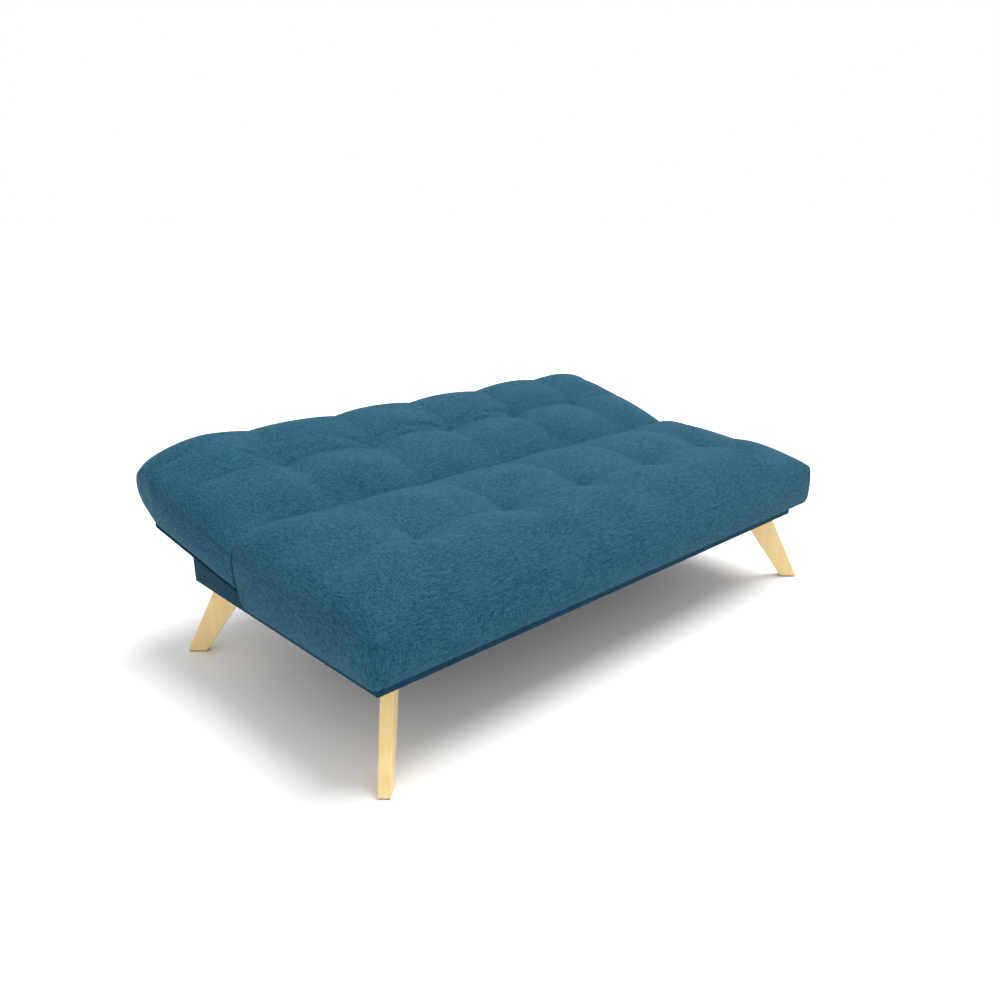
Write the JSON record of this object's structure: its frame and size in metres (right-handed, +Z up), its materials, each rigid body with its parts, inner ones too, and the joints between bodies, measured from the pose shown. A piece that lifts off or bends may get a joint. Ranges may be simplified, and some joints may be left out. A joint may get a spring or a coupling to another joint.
{
  "type": "futon sofa bed",
  "caption": "Armless futon sofa bed with a tufted seat and backrest, folding ratchet hinges and splayed wooden plank legs.",
  "frame": {"origin": "on the floor, under the middle of the sofa bed's plan with the backrest laid down", "axes": "+X to the right along the length, +Y from the seat's front to the backrest's end, +Z up"},
  "size_m": [1.856, 1.11, 0.5955],
  "materials": {
    "cover_fabric": "woven linen-look, matte",
    "base_fabric": "woven, matte, in shade",
    "dust_cloth": "thin spun-bonded cloth",
    "felt": "pressed felt",
    "leg_wood": "clear satin lacquer",
    "frame_wood": "sawn, unfinished",
    "steel": "zinc plated, satin"
  },
  "bodies": {
    "base": {"base_front_rail": "frame_wood", "base_rear_rail": "frame_wood", "base_left_rail": "frame_wood", "base_right_rail": "frame_wood", "base_cross_rails": "frame_wood", "base_corner_blocks": "frame_wood", "wrap_front": "base_fabric", "wrap_rear": "base_fabric", "wrap_left": "base_fabric", "wrap_right": "base_fabric", "base_dust_cover": "dust_cloth", "leg_front_left": "leg_wood", "leg_front_right": "leg_wood", "leg_rear_left": "leg_wood", "leg_rear_right": "leg_wood", "leg_plate_front_left": "steel", "leg_plate_front_right": "steel", "leg_plate_rear_left": "steel", "leg_plate_rear_right": "steel", "leg_bolts": "steel", "glide_front_left": "felt", "glide_front_right": "felt", "glide_rear_left": "felt", "glide_rear_right": "felt", "seat_front_rail": "frame_wood", "seat_rear_rail": "frame_wood", "seat_left_rail": "frame_wood", "seat_right_rail": "frame_wood", "seat_slats": "frame_wood", "seat_deck": "felt", "seat_cushion": "cover_fabric", "frame_screws": "steel", "hinge_seat_arm_left": "steel", "hinge_seat_arm_right": "steel", "hinge_pin_left": "steel", "hinge_pin_right": "steel", "ratchet_housing_left": "steel", "ratchet_housing_right": "steel", "seat_arm_screws": "steel"},
    "backrest": {"back_lower_rail": "frame_wood", "back_upper_rail": "frame_wood", "back_left_rail": "frame_wood", "back_right_rail": "frame_wood", "back_slats": "frame_wood", "back_deck": "felt", "back_cushion": "cover_fabric", "back_dust_cover": "base_fabric", "hinge_back_arm_left": "steel", "hinge_back_arm_right": "steel", "back_arm_screws": "steel"}
  },
  "joints": [
    {"name": "backrest_fold", "type": "hinge", "parent": "base", "child": "backrest", "pos_m": [0, 0.025, 0.425], "axis": [1, 0, 0], "range_deg": [0, 68]}
  ]
}
